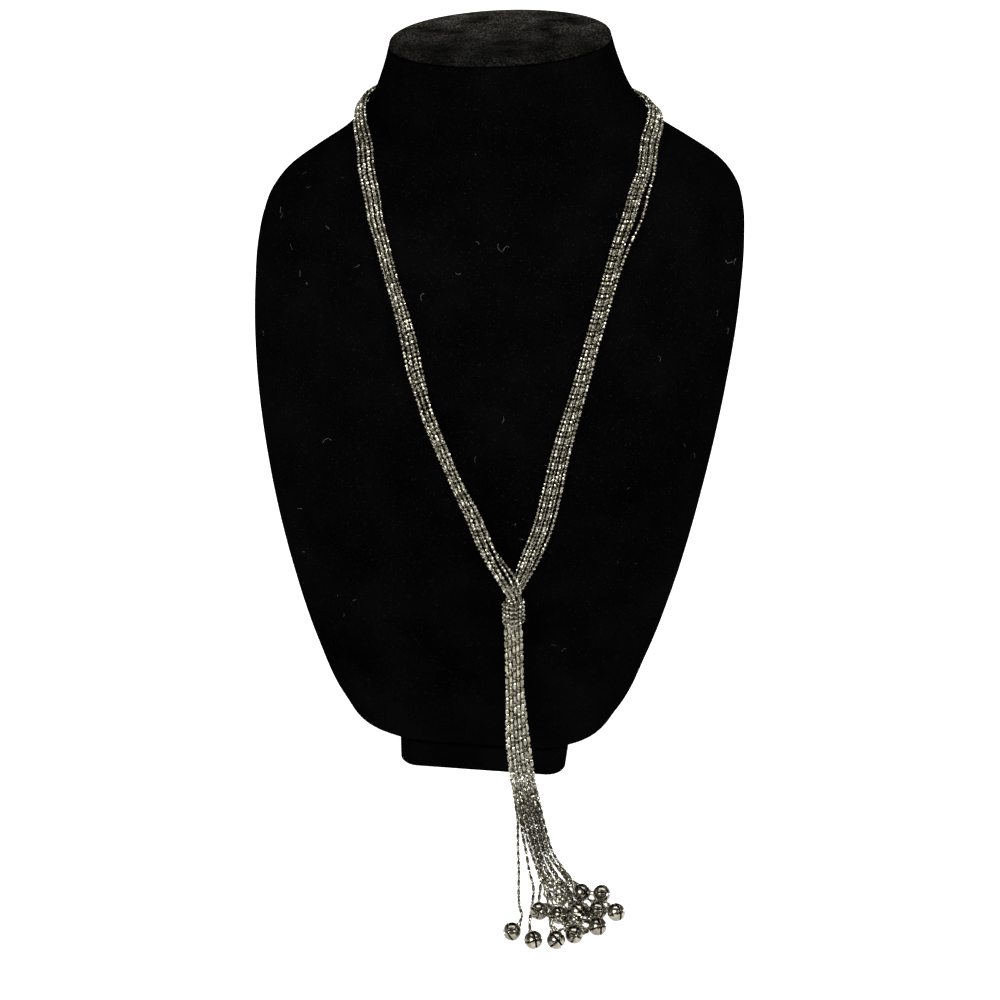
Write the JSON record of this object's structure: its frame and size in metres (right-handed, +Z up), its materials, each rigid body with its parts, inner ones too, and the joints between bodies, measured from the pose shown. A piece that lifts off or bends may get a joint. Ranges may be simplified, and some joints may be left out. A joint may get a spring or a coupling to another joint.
{
  "type": "lariat necklace on neck bust",
  "caption": "Lariat necklace of fine bar-and-ball chains with a wrapped knot and tails that end in jingle bells, on a plain velvet neck bust.",
  "frame": {"origin": "middle of the underside of the foot, on the table", "axes": "+X to the viewer's right when facing the necklace, -Y out of the front of the bust towards the viewer, +Z up"},
  "size_m": [0.2111, 0.2391, 0.3321],
  "materials": {
    "velvet": "black velvet with a short nap",
    "chain": "silver-coloured chain of small faceted bars and balls",
    "bell_metal": "polished nickel-coloured plate"
  },
  "bodies": {
    "root": {"bust": "velvet", "foot": "velvet", "neck_plate": "velvet", "knot": "chain", "strand_1": "chain", "strand_2": "chain", "strand_3": "chain", "strand_4": "chain", "strand_5": "chain", "strand_6": "chain", "tail_1": "chain", "tail_2": "chain", "tail_3": "chain", "tail_4": "chain", "tail_5": "chain", "tail_6": "chain", "tail_7": "chain", "tail_8": "chain", "tail_9": "chain", "tail_10": "chain", "tail_11": "chain", "tail_12": "chain", "end_cap_1": "bell_metal", "end_cap_2": "bell_metal", "end_cap_3": "bell_metal", "end_cap_4": "bell_metal", "end_cap_5": "bell_metal", "end_cap_6": "bell_metal", "end_cap_7": "bell_metal", "end_cap_8": "bell_metal", "end_cap_9": "bell_metal", "end_cap_10": "bell_metal", "end_cap_11": "bell_metal", "end_cap_12": "bell_metal", "bell_1": "bell_metal", "bell_2": "bell_metal", "bell_3": "bell_metal", "bell_4": "bell_metal", "bell_5": "bell_metal", "bell_6": "bell_metal", "bell_7": "bell_metal", "bell_8": "bell_metal", "bell_9": "bell_metal", "bell_10": "bell_metal", "bell_11": "bell_metal", "bell_12": "bell_metal", "clapper_1": "bell_metal", "clapper_2": "bell_metal", "clapper_3": "bell_metal", "clapper_4": "bell_metal", "clapper_5": "bell_metal", "clapper_6": "bell_metal", "clapper_7": "bell_metal", "clapper_8": "bell_metal", "clapper_9": "bell_metal", "clapper_10": "bell_metal", "clapper_11": "bell_metal", "clapper_12": "bell_metal"}
  },
  "joints": []
}
